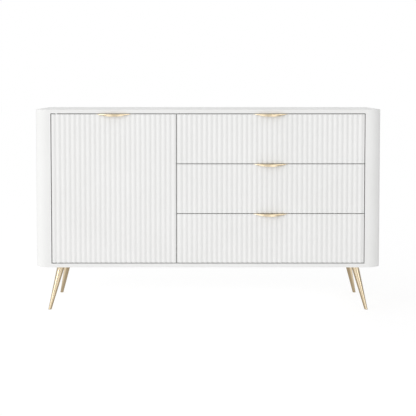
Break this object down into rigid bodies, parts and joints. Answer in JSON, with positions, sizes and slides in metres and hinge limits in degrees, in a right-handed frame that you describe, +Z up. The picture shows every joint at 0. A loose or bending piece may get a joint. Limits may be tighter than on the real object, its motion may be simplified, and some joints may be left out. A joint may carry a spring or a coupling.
{
  "type": "sideboard buffet",
  "caption": "Low white sideboard with a fluted hinged door beside stacked fluted drawers, crescent edge pulls, rounded front corners and splayed tapered metal legs.",
  "frame": {"origin": "on the floor, in the middle of the box that holds the object with its pulls", "axes": "+X to the right as seen from the front, +Y to the back (the wall), +Z up; the front faces -Y"},
  "size_m": [1.4, 0.414, 0.82],
  "materials": {
    "white_lacquer": "satin white lacquer on MDF",
    "white_melamine": "white melamine faced board",
    "back_board": "white faced hardboard",
    "gold_metal": "satin champagne gold",
    "zinc_steel": "zinc plated",
    "beech": "plain beech",
    "beige_plastic": "beige nylon",
    "white_plastic": "white nylon"
  },
  "bodies": {
    "carcass": {"top_panel": "white_lacquer", "bottom_panel": "white_lacquer", "left_outer_side": "white_lacquer", "right_outer_side": "white_lacquer", "left_corner_post": "white_lacquer", "right_corner_post": "white_lacquer", "left_inner_side": "white_melamine", "right_inner_side": "white_melamine", "left_rear_post": "white_lacquer", "right_rear_post": "white_lacquer", "center_divider": "white_melamine", "left_back_panel": "back_board", "right_back_panel": "back_board", "shelf": "white_melamine", "shelf_pins": "zinc_steel", "carcass_dowels": "beech", "carcass_screws": "zinc_steel", "cam_locks": "zinc_steel", "leg_plates": "gold_metal", "leg_plate_screws": "zinc_steel", "front_left_leg": "gold_metal", "front_right_leg": "gold_metal", "rear_left_leg": "gold_metal", "rear_right_leg": "gold_metal", "leg_glides": "beige_plastic", "pivot_plates": "zinc_steel", "magnetic_catch": "white_plastic", "outer_slides": "zinc_steel", "wall_brackets": "zinc_steel", "fitting_screws": "zinc_steel"},
    "door": {"door_panel": "white_lacquer", "door_pull": "gold_metal", "door_pull_screws": "gold_metal", "pivot_bushes": "white_plastic", "strike_plate": "zinc_steel"},
    "top_drawer": {"top_drawer_front": "white_lacquer", "top_drawer_pull": "gold_metal", "top_drawer_pull_screws": "gold_metal", "top_drawer_sides": "white_melamine", "top_drawer_ends": "white_melamine", "top_drawer_bottom": "back_board", "top_drawer_inner_slides": "zinc_steel"},
    "top_drawer_slides": {"top_drawer_middle_slides": "zinc_steel"},
    "middle_drawer": {"middle_drawer_front": "white_lacquer", "middle_drawer_pull": "gold_metal", "middle_drawer_pull_screws": "gold_metal", "middle_drawer_sides": "white_melamine", "middle_drawer_ends": "white_melamine", "middle_drawer_bottom": "back_board", "middle_drawer_inner_slides": "zinc_steel"},
    "middle_drawer_slides": {"middle_drawer_middle_slides": "zinc_steel"},
    "bottom_drawer": {"bottom_drawer_front": "white_lacquer", "bottom_drawer_pull": "gold_metal", "bottom_drawer_pull_screws": "gold_metal", "bottom_drawer_sides": "white_melamine", "bottom_drawer_ends": "white_melamine", "bottom_drawer_bottom": "back_board", "bottom_drawer_inner_slides": "zinc_steel"},
    "bottom_drawer_slides": {"bottom_drawer_middle_slides": "zinc_steel"}
  },
  "joints": [
    {"name": "door_hinge", "type": "hinge", "parent": "carcass", "child": "door", "pos_m": [-0.611, -0.181, 0.5], "axis": [0, 0, -1], "range_deg": [0, 100]},
    {"name": "top_drawer_slide", "type": "slide", "parent": "carcass", "child": "top_drawer", "axis": [0, -1, 0], "range_m": [0, 0.33]},
    {"name": "middle_drawer_slide", "type": "slide", "parent": "carcass", "child": "middle_drawer", "axis": [0, -1, 0], "range_m": [0, 0.33]},
    {"name": "bottom_drawer_slide", "type": "slide", "parent": "carcass", "child": "bottom_drawer", "axis": [0, -1, 0], "range_m": [0, 0.33]},
    {"name": "top_drawer_runner", "type": "slide", "parent": "carcass", "child": "top_drawer_slides", "axis": [0, -1, 0], "range_m": [0, 0.165]},
    {"name": "middle_drawer_runner", "type": "slide", "parent": "carcass", "child": "middle_drawer_slides", "axis": [0, -1, 0], "range_m": [0, 0.165]},
    {"name": "bottom_drawer_runner", "type": "slide", "parent": "carcass", "child": "bottom_drawer_slides", "axis": [0, -1, 0], "range_m": [0, 0.165]}
  ],
  "couplings": [
    {"joint": "top_drawer_runner", "follows": "top_drawer_slide", "ratio": 0.5},
    {"joint": "middle_drawer_runner", "follows": "middle_drawer_slide", "ratio": 0.5},
    {"joint": "bottom_drawer_runner", "follows": "bottom_drawer_slide", "ratio": 0.5}
  ]
}
